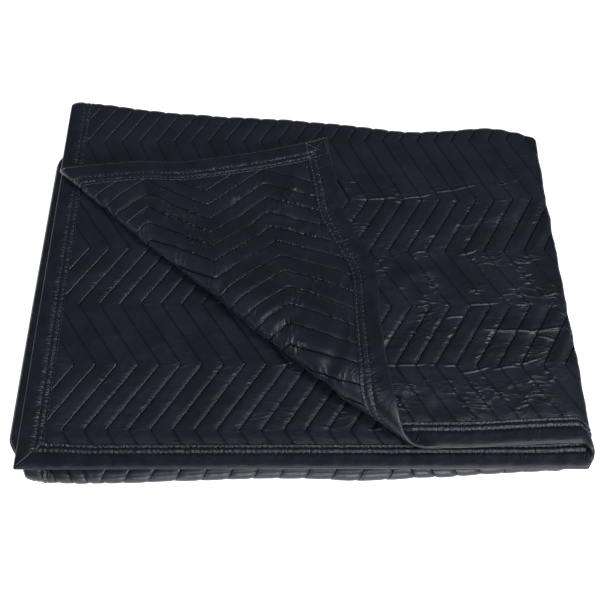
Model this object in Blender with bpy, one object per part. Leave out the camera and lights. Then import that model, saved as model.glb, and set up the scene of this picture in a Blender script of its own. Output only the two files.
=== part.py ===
"""Quilted moving blanket, folded into a flat packet with its top corner turned back.

The sheet is folded in half sideways, so that the fold is at +X, and then in three from
front to back.  Its front edge stays free on the top two layers.  The front-left corner of
the top layer is rolled back over the packet on a slanting line.

Sheet coordinates: u runs across the flat sheet, v along it, and w is the height above its
mid-surface.  The half with small u is the upper half of the pair, the other the lower.
"""
import math

import bmesh
import bpy
import numpy as np
from mathutils import Vector

# Flat sheet
HALF_WIDTH = 0.915
LENGTH = 2.03
CLOTH_HALF = 0.00225
EDGE_HALF = 0.0010

# Edge binding: a tape folded round the raw edge
TAPE_WIDTH = 0.0422
TAPE_RAMP = 0.0053
TAPE_GAP = 0.0005
TAPE_THICK = 0.0007
SKIN_REACH = TAPE_GAP + 0.4 * TAPE_THICK
NOSE_REACH = 0.0015
MITRE_GAP = 0.00022

# Packet
PITCH = 0.008
SIDE_RADIUS = PITCH / 2
TURN_RADIUS = PITCH
LEVEL_Z = (CLOTH_HALF + 4.5 * PITCH, CLOTH_HALF + 2.5 * PITCH, CLOTH_HALF + 0.5 * PITCH)
LEFT_X = -0.455
FRONT_Y = -0.367
END_INSET = 0.022
FLARE = 0.010

# How far the free front edge stands behind FRONT_Y: most of it only on the upper half
SETBACK = (
    # u,     setback
    (0.00, 0.045),
    (0.45, 0.034),
    (0.70, 0.032),
    (HALF_WIDTH - 0.020, 0.040),
    (HALF_WIDTH + 0.030, 0.000),
)

# Outline of the packet: x of the place, y of the back fold's crest and of the front fold's
OUTLINE = (
    # x,      back,   front
    (-0.455, 0.381, -0.376),
    (-0.440, 0.386, -0.381),
    (-0.410, 0.384, -0.385),
    (-0.300, 0.366, -0.385),
    (-0.150, 0.350, -0.380),
    (0.000, 0.338, -0.377),
    (0.100, 0.326, -0.380),
    (0.230, 0.309, -0.375),
    (0.300, 0.313, -0.371),
    (0.370, 0.319, -0.367),
    (0.430, 0.307, -0.364),
    (0.465, 0.290, -0.358),
)

# How far the side edges of the folded-under layers stand from those of the top ones:
# share of the way from the back fold to the front fold, left shift, right shift
SIDE_SHIFT = (
    # share, left,   right
    (0.00, 0.000, -0.002),
    (0.13, 0.000, -0.004),
    (0.18, -0.013, -0.005),
    (0.93, -0.015, -0.009),
    (1.00, 0.015, -0.012),
)
SIDE_FADE = 0.25
PAIR_STEP = 0.004

# Turned-back corner: the roll runs from the left edge to the front edge
ROLL_LEFT = (-0.445, 0.212)
ROLL_FRONT = (0.224, -0.332)
ROLL = (
    # share, radius, bow,   stretch of the flap beyond the roll
    (0.0, 0.0080, 0.000, 0.00),
    (0.2, 0.0115, 0.006, 0.00),
    (0.4, 0.0165, 0.005, 0.01),
    (0.6, 0.0230, 0.006, 0.11),
    (0.8, 0.0275, 0.004, 0.11),
    (1.0, 0.0260, 0.000, 0.00),
)
ROLL_SPREAD = 1.25
ROLL_LIFT = 0.85
SETTLE_LENGTH = 0.16
SETTLE_REST = PITCH

# How the turned-back flap lies off its straight place: shift in y of its side tape, and
# in x of its end tape, by the place on the flat sheet
FLAP_SIDE = (
    # v,    shift
    (0.00, -0.003),
    (0.06, -0.010),
    (0.16, -0.015),
    (0.27, -0.013),
    (0.375, 0.000),
    (0.50, 0.000),
)
FLAP_END = (
    # u,    shift
    (0.00, 0.011),
    (0.10, 0.005),
    (0.17, -0.002),
    (0.23, 0.012),
    (0.30, 0.034),
    (0.40, 0.022),
    (0.52, 0.010),
    (0.60, 0.013),
    (0.70, 0.030),
)
FLAP_SIDE_FADE = 0.30
FLAP_END_FADE = 0.25
LYING_LENGTH = 0.02

# Soft swells and hollows of the packet: centre x, y, reach and share of the height
SWELLS = (
    # x,     y,     reach, share
    (-0.30, 0.30, 0.16, -0.05),
    (0.30, 0.25, 0.20, 0.05),
    (0.40, -0.25, 0.15, 0.04),
    (0.05, -0.05, 0.22, 0.05),
    (-0.38, -0.30, 0.14, -0.06),
)

COLOURS = {
    "quilted_fabric": ((0.012, 0.015, 0.030, 1.0), 0.42),
    "binding_tape": ((0.010, 0.012, 0.024, 1.0), 0.55),
}

# Flat sheet's lines across and along: places in metres, then shares of a layer's run
COARSE_ACROSS = (0.14, 0.25, 0.35, 0.45, 0.575, 0.70, 0.80)
SHEAR_ACROSS = (HALF_WIDTH - 0.020, HALF_WIDTH + 0.018, HALF_WIDTH + 0.030)
MIDDLE_SHARES = (0.13, 0.18, 0.36, 0.55, 0.74, 0.93, 1.0)
LAST_SHARES = (0.07, 0.26, 0.45, 0.64, 0.82, 1.0)
BEND_STEPS = 8
SETTLE_STEPS = 4
SLOPE_STEP = 0.0004

BEND_START = HALF_WIDTH - math.pi * SIDE_RADIUS / 2
BEND_END = HALF_WIDTH + math.pi * SIDE_RADIUS / 2
TURN_LENGTH = math.pi * TURN_RADIUS


def smooth(value, start, end):
    """Rise from 0 at start to 1 at end, level at both."""
    share = np.clip((value - start) / (end - start), 0.0, 1.0)
    return share * share * (3.0 - 2.0 * share)


def read_table(table, place):
    """Each further column of a table, read at a place in its first column."""
    rows = np.array(table)
    return [np.interp(place, rows[:, 0], column) for column in rows[:, 1:].T]


def across(u):
    """Place x, and height in the pair, of the sheet across its width."""
    angle = np.clip((u - BEND_START) / SIDE_RADIUS, 0.0, math.pi)
    x = LEFT_X + np.minimum(u, BEND_START) + SIDE_RADIUS * np.sin(angle)
    return x - np.maximum(u - BEND_END, 0.0), SIDE_RADIUS * np.cos(angle)


def runs(u):
    """Where the straight runs of a strip at u start and end: (front, back, under, end)."""
    crest, brow = read_table(OUTLINE, across(u)[0])
    reach = TURN_RADIUS + SIDE_RADIUS + CLOTH_HALF
    front = FRONT_Y + read_table(SETBACK, u)[0]
    return front, crest - reach, brow + reach, crest - reach - END_INSET


def along(u, v):
    """Place y and z of the pair's middle, its normal, and how far it is folded under."""
    front, back, under, end = runs(u)
    first = back - front
    second = back - under
    turn_one = np.clip((v - first) / TURN_RADIUS, 0.0, math.pi)
    middle = np.clip(v - first - TURN_LENGTH, 0.0, second)
    turn_two = np.clip((v - first - TURN_LENGTH - second) / TURN_RADIUS, 0.0, math.pi)
    third = v - first - second - 2.0 * TURN_LENGTH
    scale = (end - under) / (LENGTH - first - second - 2.0 * TURN_LENGTH)
    y = np.where(v < first, front + v, back - middle)
    y = y + TURN_RADIUS * (np.sin(turn_one) - np.sin(turn_two)) + np.maximum(third, 0.0) * scale
    z = LEVEL_Z[0] - TURN_RADIUS * (2.0 - np.cos(turn_one) - np.cos(turn_two))
    heading = turn_one - turn_two
    under_share = np.where(third > 0.0, 1.0 - third * scale / (end - under), middle / second)
    return y, z, np.sin(heading), np.cos(heading), np.clip(under_share, 0.0, 1.0)


def roll_frame():
    """Start, direction, side and length of the turned-back corner's roll."""
    start = np.array(ROLL_LEFT)
    line = np.array(ROLL_FRONT) - start
    length = float(np.hypot(*line))
    run = line / length
    return start, run, np.array((run[1], -run[0])), length


def turn_back(x, y):
    """Shift in x, y and z that rolls the corner back, and how far it lies past the roll."""
    start, run, side, length = roll_frame()
    share = ((x - start[0]) * run[0] + (y - start[1]) * run[1]) / length
    beyond = (x - start[0]) * side[0] + (y - start[1]) * side[1]
    radius, bow, stretch = read_table(ROLL, share)
    past = np.maximum(beyond - bow, 0.0)
    angle = np.minimum(past / radius, math.pi)
    flat = np.maximum(past - math.pi * radius, 0.0)
    shift = ROLL_SPREAD * radius * np.sin(angle) - flat * (1.0 + stretch) - past
    rise = ROLL_LIFT * radius * (1.0 - np.cos(angle))
    drop = (2.0 * ROLL_LIFT * radius - SETTLE_REST) * smooth(flat, 0.0, SETTLE_LENGTH)
    return shift * side[0], shift * side[1], rise - drop, smooth(past, 0.0, math.pi * radius + LYING_LENGTH)


def middle_surface(u, v):
    """Place of the sheet's mid-surface in the folded packet."""
    x, offset = across(u)
    y, z, normal_y, normal_z, share = along(u, v)
    upper = 1.0 - smooth(u, HALF_WIDTH - 0.05, HALF_WIDTH + 0.05)
    front, back, _, _ = runs(u)
    folded = smooth(v, back - front, back - front + TURN_LENGTH)
    left, right = read_table(SIDE_SHIFT, share)
    leftness = 1.0 - smooth(x, LEFT_X, LEFT_X + SIDE_FADE)
    x = x + folded * ((left - PAIR_STEP * upper) * leftness + right * (1.0 - leftness))
    flare = smooth(-y, -0.30, 0.35) * smooth(x, 0.2, 0.46)
    x = x + FLARE * flare * (1.0 - folded) * (1.0 - leftness)
    y = y + normal_y * offset
    z = z + normal_z * offset
    top_left = (u < BEND_START) & (folded <= 0.0)
    shift_x, shift_y, lift, lying = turn_back(x, y)
    near_side = lying * (1.0 - smooth(u, 0.0, FLAP_SIDE_FADE))
    near_end = lying * (1.0 - smooth(v, 0.0, FLAP_END_FADE))
    shift_x = shift_x + near_end * read_table(FLAP_END, u)[0]
    shift_y = shift_y + near_side * read_table(FLAP_SIDE, v)[0]
    x = x + np.where(top_left, shift_x, 0.0)
    y = y + np.where(top_left, shift_y, 0.0)
    swell = np.zeros_like(x)
    for centre_x, centre_y, reach, amount in SWELLS:
        swell = swell + amount * np.exp(-((x - centre_x) ** 2 + (y - centre_y) ** 2) / reach ** 2)
    z = z * (1.0 + swell * smooth(z, CLOTH_HALF, 0.03)) + np.where(top_left, lift, 0.0)
    return np.stack((x, y, z), axis=-1)


def sheet_point(u, v, w):
    """Place of a point at height w above the mid-surface at (u, v)."""
    slope_u = middle_surface(u + SLOPE_STEP, v) - middle_surface(u - SLOPE_STEP, v)
    slope_v = middle_surface(u, v + SLOPE_STEP) - middle_surface(u, v - SLOPE_STEP)
    normal = np.cross(slope_u, slope_v)
    normal /= np.linalg.norm(normal, axis=-1, keepdims=True)
    return middle_surface(u, v) + normal * np.asarray(w)[..., None]


def width_stations():
    """Lines across the flat sheet, closer at the tapes and the side fold."""
    edge = [0.0, TAPE_WIDTH, TAPE_WIDTH + TAPE_RAMP]
    bend = list(np.linspace(BEND_START, BEND_END, 5))
    half = edge + list(COARSE_ACROSS)
    other_half = [2.0 * HALF_WIDTH - value for value in half]
    return sorted(half + bend + list(SHEAR_ACROSS) + other_half)


def length_stations(u):
    """Lines along the flat sheet at u, closer at the tapes and the two turns."""
    front, back, under, _ = runs(u)
    first = back - front
    second_end = first + TURN_LENGTH + back - under
    third = second_end + TURN_LENGTH
    tape = TAPE_WIDTH + TAPE_RAMP
    stations = [0.0, TAPE_WIDTH]
    stations += list(np.linspace(tape, first, 7))
    stations += list(np.linspace(first, first + TURN_LENGTH, 7))[1:]
    stations += [first + TURN_LENGTH + share * (back - under) for share in MIDDLE_SHARES]
    stations += list(np.linspace(second_end, third, 7))[1:]
    stations += [third + share * (LENGTH - tape - third) for share in LAST_SHARES]
    return stations + [LENGTH - TAPE_WIDTH, LENGTH]


def cut(mesh, near, far, chosen):
    """Cut the chosen faces of the flat sheet along the line from near to far."""
    faces = [face for face in mesh.faces if chosen(face.calc_center_median())]
    edges = {edge for face in faces for edge in face.edges}
    verts = {vert for face in faces for vert in face.verts}
    normal = Vector((far[1] - near[1], near[0] - far[0], 0.0)).normalized()
    bmesh.ops.bisect_plane(mesh, geom=faces + list(edges) + list(verts), dist=1e-6,
                           plane_co=Vector((near[0], near[1], 0.0)), plane_no=normal)


def cut_roll(mesh):
    """Cut the sheet, laid out as the top layer lies, where the roll bends and settles."""
    start, run, side, length = roll_frame()
    start = start - np.array((LEFT_X, FRONT_Y))

    def in_roll(low, high):
        def chosen(centre):
            place = np.array((centre.x, centre.y)) - start
            return low < place @ run / length < high and -0.03 < place @ side < 0.5
        return chosen

    for share, *_ in ROLL[1:-1]:
        near = start + run * length * share
        cut(mesh, near, near + side, in_roll(-0.2, 1.2))
    bends = [(math.pi * step / BEND_STEPS, 0.0) for step in range(BEND_STEPS + 1)]
    settles = [(math.pi, SETTLE_LENGTH * step / SETTLE_STEPS) for step in range(1, SETTLE_STEPS + 1)]
    for angle, extra in bends + settles:
        for (share, radius, bow, _), (next_share, next_radius, next_bow, _) in zip(ROLL, ROLL[1:]):
            near = start + run * length * share + side * (angle * radius + bow + extra)
            far = start + run * length * next_share
            far = far + side * (angle * next_radius + next_bow + extra)
            low = -0.2 if share == 0.0 else share
            high = 1.2 if next_share == 1.0 else next_share
            cut(mesh, near, far, in_roll(low, high))


def cut_mitres(mesh):
    """Cut the four corners of the flat sheet on the slant, where two tapes meet."""
    width = 2.0 * HALF_WIDTH
    for corner_u, corner_v in ((0, 0), (width, 0), (0, LENGTH), (width, LENGTH)):
        lean = 1.0 if (corner_u == 0) == (corner_v == 0) else -1.0
        cut(mesh, (corner_u, corner_v), (corner_u + 1.0, corner_v + lean),
            lambda centre: max(abs(centre.x - corner_u), abs(centre.y - corner_v)) < TAPE_WIDTH)


def lean_front(mesh, sign):
    """Move each line of the sheet by its front edge's setback, or back again."""
    for vert in mesh.verts:
        vert.co.y += sign * read_table(SETBACK, vert.co.x)[0]


def flat_sheet():
    """The flat sheet as points (u, v) and triangles, cut where it will bend."""
    columns = width_stations()
    rows = [length_stations(np.float64(u)) for u in columns]
    mesh = bmesh.new()
    grid = [[mesh.verts.new((u, v, 0.0)) for v in line] for u, line in zip(columns, rows)]
    for left, right in zip(grid, grid[1:]):
        for low in range(len(left) - 1):
            mesh.faces.new((left[low], right[low], right[low + 1], left[low + 1]))
    cut_mitres(mesh)
    lean_front(mesh, 1.0)
    cut_roll(mesh)
    lean_front(mesh, -1.0)
    bmesh.ops.triangulate(mesh, faces=mesh.faces[:])
    mesh.verts.index_update()
    points = np.array([vert.co[:2] for vert in mesh.verts])
    triangles = [tuple(vert.index for vert in face.verts) for face in mesh.faces]
    mesh.free()
    return points, triangles


def border(triangles):
    """Directed border edges of a patch of triangles."""
    edges = {(tri[side], tri[(side + 1) % 3]) for tri in triangles for side in range(3)}
    return [edge for edge in edges if (edge[1], edge[0]) not in edges]


def edge_distances(points):
    """Distance of each point to the front, left top, left under and back edges."""
    u, v = points[:, 0], points[:, 1]
    return np.stack((v, u, 2.0 * HALF_WIDTH - u, LENGTH - v), axis=1)


def make_object(name, slot, verts, faces):
    """A closed object from points and faces, its normals pointing out."""
    mesh = bmesh.new()
    made = [mesh.verts.new(point) for point in verts]
    for face in faces:
        mesh.faces.new([made[index] for index in face])
    loose = [vert for vert in mesh.verts if not vert.link_faces]
    bmesh.ops.delete(mesh, geom=loose, context="VERTS")
    bmesh.ops.triangulate(mesh, faces=[face for face in mesh.faces if len(face.verts) > 3])
    bmesh.ops.recalc_face_normals(mesh, faces=mesh.faces[:])
    data = bpy.data.meshes.new(name)
    mesh.to_mesh(data)
    mesh.free()
    data.materials.append(material(slot))
    made_object = bpy.data.objects.new(name, data)
    bpy.context.collection.objects.link(made_object)
    return made_object


def material(slot):
    """The part's plain material for a slot."""
    found = bpy.data.materials.get(slot)
    if found:
        return found
    colour, roughness = COLOURS[slot]
    found = bpy.data.materials.new(slot)
    found.use_nodes = True
    shader = found.node_tree.nodes["Principled BSDF"]
    shader.inputs["Base Color"].default_value = colour
    shader.inputs["Roughness"].default_value = roughness
    shader.inputs["Metallic"].default_value = 0.0
    return found


def quilted_cloth(points, triangles):
    """The whole quilted sheet, thinner where the tape grips it."""
    inside = edge_distances(points).min(axis=1) - TAPE_WIDTH
    half = EDGE_HALF + (CLOTH_HALF - EDGE_HALF) * np.clip(inside / TAPE_RAMP, 0.0, 1.0)
    top = sheet_point(points[:, 0], points[:, 1], half)
    bottom = sheet_point(points[:, 0], points[:, 1], -half)
    count = len(points)
    faces = list(triangles)
    faces += [(a + count, c + count, b + count) for a, b, c in triangles]
    faces += [(b, a, a + count, b + count) for a, b in border(triangles)]
    return make_object("quilted_cloth", "quilted_fabric", np.concatenate((top, bottom)), faces)


def binding(name, edge, points, triangles):
    """One length of tape, folded round the sheet's edge, with mitred ends."""
    distances = edge_distances(points)
    strip = []
    for triangle in triangles:
        centre = distances[list(triangle)].mean(axis=0)
        if centre[edge] < TAPE_WIDTH and centre[edge] == centre.min():
            strip.append(triangle)
    used = sorted({index for triangle in strip for index in triangle})
    order = {index: place for place, index in enumerate(used)}
    strip = [tuple(order[index] for index in triangle) for triangle in strip]
    flat = points[used]
    far = distances[used]
    outward = np.array(((0, -1), (-1, 0), (1, 0), (0, 1)))
    near = np.abs(far) < 1e-6
    push = near.astype(float) @ outward
    on_edge = near[:, edge]
    # ends of the strip: points as near to another edge as to this one
    others = np.delete(far, edge, axis=1)
    back_off = np.delete(-outward, edge, axis=0)
    for column in range(3):
        at_end = np.abs(others[:, column] - far[:, edge]) < 1e-5
        flat = flat + MITRE_GAP * at_end[:, None] * back_off[column]
    inner = EDGE_HALF + TAPE_GAP
    outer = inner + TAPE_THICK
    grip = flat + push * on_edge[:, None] * TAPE_GAP
    skin = flat + push * on_edge[:, None] * SKIN_REACH
    nose = flat + push * on_edge[:, None] * NOSE_REACH
    shells = [(skin, outer), (grip, inner), (grip, -inner), (skin, -outer), (nose, 0.0)]
    verts = [sheet_point(uv[:, 0], uv[:, 1], np.full(len(uv), w)) for uv, w in shells]
    count = len(used)
    top, under_top, over_low, low, tip = (count * shell for shell in range(5))
    faces = []
    for a, b, c in strip:
        faces.append((a + top, b + top, c + top))
        faces.append((a + under_top, c + under_top, b + under_top))
        faces.append((a + over_low, b + over_low, c + over_low))
        faces.append((a + low, c + low, b + low))
    ends = {}
    for a, b in border(strip):
        if on_edge[a] and on_edge[b]:
            faces.append((b + top, a + top, a + tip, b + tip))
            faces.append((b + tip, a + tip, a + low, b + low))
            faces.append((a + under_top, b + under_top, b + over_low, a + over_low))
            ends[a] = ends.get(a, 0) + 1
            ends[b] = ends.get(b, 0) - 1
        else:
            faces.append((b + top, a + top, a + under_top, b + under_top))
            faces.append((b + over_low, a + over_low, a + low, b + low))
    for place, turn in ends.items():
        if turn:
            cap = [(top, tip, under_top), (tip, over_low, under_top), (tip, low, over_low)]
            faces += [tuple(place + shell for shell in corner) for corner in cap]
    return make_object(name, "binding_tape", np.concatenate(verts), faces)


def centre_on_origin(objects):
    """Put the middle of the packet's footprint at the origin and its base at z = 0."""
    corners = [vert.co for part in objects for vert in part.data.vertices]
    low = Vector([min(co[axis] for co in corners) for axis in range(3)])
    high = Vector([max(co[axis] for co in corners) for axis in range(3)])
    shift = Vector(((low.x + high.x) / 2, (low.y + high.y) / 2, low.z))
    for part in objects:
        for vert in part.data.vertices:
            vert.co -= shift


def main():
    for item in list(bpy.data.objects):
        bpy.data.objects.remove(item)
    points, triangles = flat_sheet()
    parts = [quilted_cloth(points, triangles)]
    names = ("binding_front", "binding_left_top", "binding_left_under", "binding_back")
    for edge, name in enumerate(names):
        parts.append(binding(name, edge, points, triangles))
    centre_on_origin(parts)


main()
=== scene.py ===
"""Quilted moving blanket, folded into a flat packet with its top corner turned back.

Sheet coordinates: u runs across the flat sheet and v along it, both in metres.  The outer
side is the one that faces away from the packet's middle, and w is the height on that side.
The half with small u is the upper half of the folded pair.
"""
import math

import bpy
import numpy as np
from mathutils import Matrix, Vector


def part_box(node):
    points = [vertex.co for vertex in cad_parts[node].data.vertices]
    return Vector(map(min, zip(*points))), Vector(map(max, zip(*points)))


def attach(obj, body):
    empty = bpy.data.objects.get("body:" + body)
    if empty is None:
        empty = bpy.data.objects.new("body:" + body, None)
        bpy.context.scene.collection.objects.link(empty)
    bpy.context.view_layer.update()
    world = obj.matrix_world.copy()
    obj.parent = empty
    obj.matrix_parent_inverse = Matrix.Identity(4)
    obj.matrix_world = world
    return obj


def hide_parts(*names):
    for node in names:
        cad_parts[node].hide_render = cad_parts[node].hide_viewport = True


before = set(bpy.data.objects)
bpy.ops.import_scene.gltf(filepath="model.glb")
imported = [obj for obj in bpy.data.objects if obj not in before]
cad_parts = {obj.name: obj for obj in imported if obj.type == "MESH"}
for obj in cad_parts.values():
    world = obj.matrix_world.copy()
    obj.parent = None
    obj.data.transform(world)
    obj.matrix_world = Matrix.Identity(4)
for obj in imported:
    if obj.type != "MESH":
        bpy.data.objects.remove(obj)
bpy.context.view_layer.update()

bl_info = {
    "name": "Folded moving blanket",
    "version": (1, 0, 0),
    "blender": (4, 5, 0),
    "location": "3D View > Sidebar > Blanket",
    "description": "Makes a quilted, tape-bound moving blanket, folded with one corner back",
    "category": "Add Mesh",
}

# Flat sheet
HALF_WIDTH = 0.915
WIDTH = 2.0 * HALF_WIDTH
LENGTH = 2.03
CLOTH_HALF = 0.00225
EDGE_HALF = 0.0009

# Packet
PITCH = 0.008
SIDE_RADIUS = PITCH / 2
TURN_RADIUS = PITCH
LEVEL_Z = (CLOTH_HALF + 4.5 * PITCH, CLOTH_HALF + 2.5 * PITCH, CLOTH_HALF + 0.5 * PITCH)
LEFT_X = -0.455
FRONT_Y = -0.367
END_INSET = 0.022
FLARE = 0.010
TAPE_REACH = 0.0015
BEND_START = HALF_WIDTH - math.pi * SIDE_RADIUS / 2
BEND_END = HALF_WIDTH + math.pi * SIDE_RADIUS / 2
TURN_LENGTH = math.pi * TURN_RADIUS

# How far the free front edge stands behind FRONT_Y
SETBACK = (
    # u,     setback
    (0.00, 0.045),
    (0.45, 0.034),
    (0.70, 0.032),
    (HALF_WIDTH - 0.020, 0.040),
    (HALF_WIDTH + 0.012, 0.000),
)

# Outline of the packet: x of the place, y of the back fold's crest and of the front fold's
OUTLINE = (
    # x,      back,   front
    (-0.455, 0.381, -0.376),
    (-0.440, 0.386, -0.381),
    (-0.410, 0.384, -0.385),
    (-0.300, 0.366, -0.385),
    (-0.150, 0.350, -0.380),
    (0.000, 0.338, -0.377),
    (0.100, 0.326, -0.380),
    (0.230, 0.309, -0.375),
    (0.300, 0.313, -0.371),
    (0.370, 0.319, -0.367),
    (0.430, 0.307, -0.364),
    (0.465, 0.290, -0.358),
)

# Side edges of the folded-under layers: share of the way from back to front, shifts
SIDE_SHIFT = (
    # share, left,   right
    (0.00, 0.000, -0.002),
    (0.13, 0.000, -0.004),
    (0.18, -0.013, -0.005),
    (0.93, -0.015, -0.009),
    (1.00, 0.015, -0.012),
)
SIDE_FADE = 0.25
PAIR_STEP = 0.004

# Turned-back corner: the roll runs from the left edge to the front edge
ROLL_LEFT = (-0.445, 0.212)
ROLL_FRONT = (0.224, -0.332)
ROLL = (
    # share, radius, bow,   stretch of the flap beyond the roll
    (0.0, 0.0080, 0.000, 0.00),
    (0.2, 0.0115, 0.006, 0.00),
    (0.4, 0.0165, 0.005, 0.01),
    (0.6, 0.0230, 0.006, 0.11),
    (0.8, 0.0275, 0.004, 0.11),
    (1.0, 0.0260, 0.000, 0.00),
)
ROLL_SPREAD = 1.25
ROLL_LIFT = 0.85
SETTLE_LENGTH = 0.16
SETTLE_REST = PITCH

# How the turned-back flap lies off its straight place: shift in y of its side tape, and
# in x of its end tape, by the place on the flat sheet
FLAP_SIDE = (
    # v,    shift
    (0.00, -0.003),
    (0.06, -0.010),
    (0.16, -0.015),
    (0.27, -0.013),
    (0.375, 0.000),
    (0.50, 0.000),
)
FLAP_END = (
    # u,    shift
    (0.00, 0.011),
    (0.10, 0.005),
    (0.17, -0.002),
    (0.23, 0.012),
    (0.30, 0.034),
    (0.40, 0.022),
    (0.52, 0.010),
    (0.60, 0.013),
    (0.70, 0.030),
)
FLAP_SIDE_FADE = 0.30
FLAP_END_FADE = 0.25
LYING_LENGTH = 0.02

# Soft swells and hollows of the packet
SWELLS = (
    # x,     y,     reach, share of the height
    (-0.30, 0.30, 0.16, -0.05),
    (0.30, 0.25, 0.20, 0.05),
    (0.40, -0.25, 0.15, 0.04),
    (0.05, -0.05, 0.22, 0.05),
    (-0.38, -0.30, 0.14, -0.06),
)

# Quilting: number of the zigzag seam that crosses a row of corners at u
SEAMS = (
    # u,    seam number
    (-0.20, -26.172),
    (0.75, 2.018),
    (0.85, 4.985),
    (1.10, 11.634),
    (1.20, 14.404),
    (2.00, 36.565),
)
SWING_UPPER = 0.068
SWING_LOWER = 0.079
ROW_START = 0.061
ROW_PITCH = 0.112
# The row that stands wider than the rest: after which row, how far on, and how much
BACK_ROW = 4.0
BACK_ROW_REACH = 1.24
BACK_ROW_STRETCH = 0.194
# How deep the seams are drawn in on every other band
BACK_BAND = 0.65
SWAY_HEIGHT = 0.0009
CROWN_HALF = 0.0029
SEAM_HALF = 0.0010

# Wide soft creases pressed into the cloth: from, to (u, v), half width and height
CREASES = (
    (0.030, 0.335, 0.130, 0.400, 0.012, 0.0035),
    (0.080, 0.330, 0.190, 0.385, 0.010, -0.0030),
    (0.060, 0.420, 0.150, 0.470, 0.010, 0.0030),
    (0.260, 0.215, 0.330, 0.265, 0.010, 0.0030),
    (0.330, 0.150, 0.400, 0.215, 0.010, -0.0030),
    (0.360, 0.120, 0.420, 0.175, 0.009, 0.0025),
    (0.130, 0.280, 0.230, 0.330, 0.011, -0.0025),
    (0.560, 0.060, 0.640, 0.110, 0.012, 0.0025),
    (0.590, 0.160, 0.660, 0.230, 0.012, -0.0020),
    (0.620, 0.300, 0.700, 0.330, 0.012, 0.0020),
    (0.720, 0.420, 0.860, 0.445, 0.014, 0.0020),
    (0.740, 0.205, 0.915, 0.205, 0.010, 0.0018),
    (0.660, 0.060, 0.705, 0.035, 0.028, -0.0040),
    (0.020, 0.060, 0.200, 0.110, 0.013, -0.0030),
    (0.100, 0.200, 0.300, 0.120, 0.014, 0.0030),
    (0.380, 0.040, 0.560, 0.130, 0.012, 0.0035),
    (0.450, 0.060, 0.620, 0.090, 0.010, -0.0030),
    (0.070, 0.500, 0.140, 0.430, 0.009, -0.0030),
)

# Sharp creases on the upper half: from, to (u, v), half width and height
SHARP_CREASES = (
    (0.765, 0.204, 0.845, 0.199, 0.0042, 0.0017),
    (0.840, 0.197, 0.915, 0.204, 0.0046, 0.0019),
    (0.850, 0.192, 0.888, 0.178, 0.0036, 0.0013),
    (0.598, 0.141, 0.668, 0.143, 0.0036, 0.0013),
    (0.690, 0.142, 0.722, 0.141, 0.0036, 0.0013),
    (0.722, 0.127, 0.772, 0.136, 0.0036, 0.0013),
    (0.770, 0.131, 0.818, 0.134, 0.0036, 0.0012),
    (0.800, 0.136, 0.852, 0.146, 0.0036, 0.0012),
    (0.560, 0.476, 0.640, 0.479, 0.0036, 0.0014),
    (0.640, 0.479, 0.705, 0.488, 0.0036, 0.0012),
    (0.705, 0.492, 0.790, 0.508, 0.0040, 0.0011),
    (0.655, 0.234, 0.692, 0.243, 0.0040, 0.0013),
    (0.700, 0.229, 0.742, 0.236, 0.0040, 0.0013),
    (0.742, 0.256, 0.800, 0.257, 0.0036, 0.0013),
    (0.868, 0.262, 0.912, 0.278, 0.0040, 0.0011),
    (0.735, 0.354, 0.775, 0.366, 0.0040, 0.0013),
)


def smooth(value, start, end):
    """Rise from 0 at start to 1 at end, level at both."""
    share = np.clip((value - start) / (end - start), 0.0, 1.0)
    return share * share * (3.0 - 2.0 * share)


def read_table(table, place):
    """Each further column of a table, read at a place along a smooth curve through it."""
    rows = np.array(table)
    knots = rows[:, 0]
    gaps = np.diff(knots)
    place = np.clip(place, knots[0], knots[-1])
    index = np.clip(np.searchsorted(knots, place, side="right") - 1, 0, len(gaps) - 1)
    share = (place - knots[index]) / gaps[index]
    found = []
    for column in rows[:, 1:].T:
        secants = np.diff(column) / gaps
        before = secants[:-1]
        after = secants[1:]
        agree = before * after > 0.0
        total = np.where(agree, before + after, 1.0)
        middle = np.where(agree, 2.0 * before * after / total, 0.0)
        slopes = np.concatenate((secants[:1], middle, secants[-1:]))
        start = column[index]
        rise = column[index + 1] - start
        leave = slopes[index] * gaps[index]
        arrive = slopes[index + 1] * gaps[index]
        bend = (3.0 * rise - 2.0 * leave - arrive) + (leave + arrive - 2.0 * rise) * share
        found.append(start + share * (leave + share * bend))
    return found


def across(u):
    """Place x, and height in the pair, of the sheet across its width."""
    angle = np.clip((u - BEND_START) / SIDE_RADIUS, 0.0, math.pi)
    x = LEFT_X + np.minimum(u, BEND_START) + SIDE_RADIUS * np.sin(angle)
    return x - np.maximum(u - BEND_END, 0.0), SIDE_RADIUS * np.cos(angle)


def runs(u):
    """Where the straight runs of a strip at u start and end: (front, back, under, end)."""
    crest, brow = read_table(OUTLINE, across(u)[0])
    reach = TURN_RADIUS + SIDE_RADIUS + CLOTH_HALF
    front = FRONT_Y + read_table(SETBACK, u)[0]
    return front, crest - reach, brow + reach, crest - reach - END_INSET


def along(u, v):
    """Place y and z of the pair's middle, its normal, and how far it is folded under."""
    front, back, under, end = runs(u)
    first = back - front
    second = back - under
    turn_one = np.clip((v - first) / TURN_RADIUS, 0.0, math.pi)
    middle = np.clip(v - first - TURN_LENGTH, 0.0, second)
    turn_two = np.clip((v - first - TURN_LENGTH - second) / TURN_RADIUS, 0.0, math.pi)
    third = v - first - second - 2.0 * TURN_LENGTH
    scale = (end - under) / (LENGTH - first - second - 2.0 * TURN_LENGTH)
    y = np.where(v < first, front + v, back - middle)
    y = y + TURN_RADIUS * (np.sin(turn_one) - np.sin(turn_two)) + np.maximum(third, 0.0) * scale
    z = LEVEL_Z[0] - TURN_RADIUS * (2.0 - np.cos(turn_one) - np.cos(turn_two))
    heading = turn_one - turn_two
    under_share = np.where(third > 0.0, 1.0 - third * scale / (end - under), middle / second)
    return y, z, np.sin(heading), np.cos(heading), np.clip(under_share, 0.0, 1.0)


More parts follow.
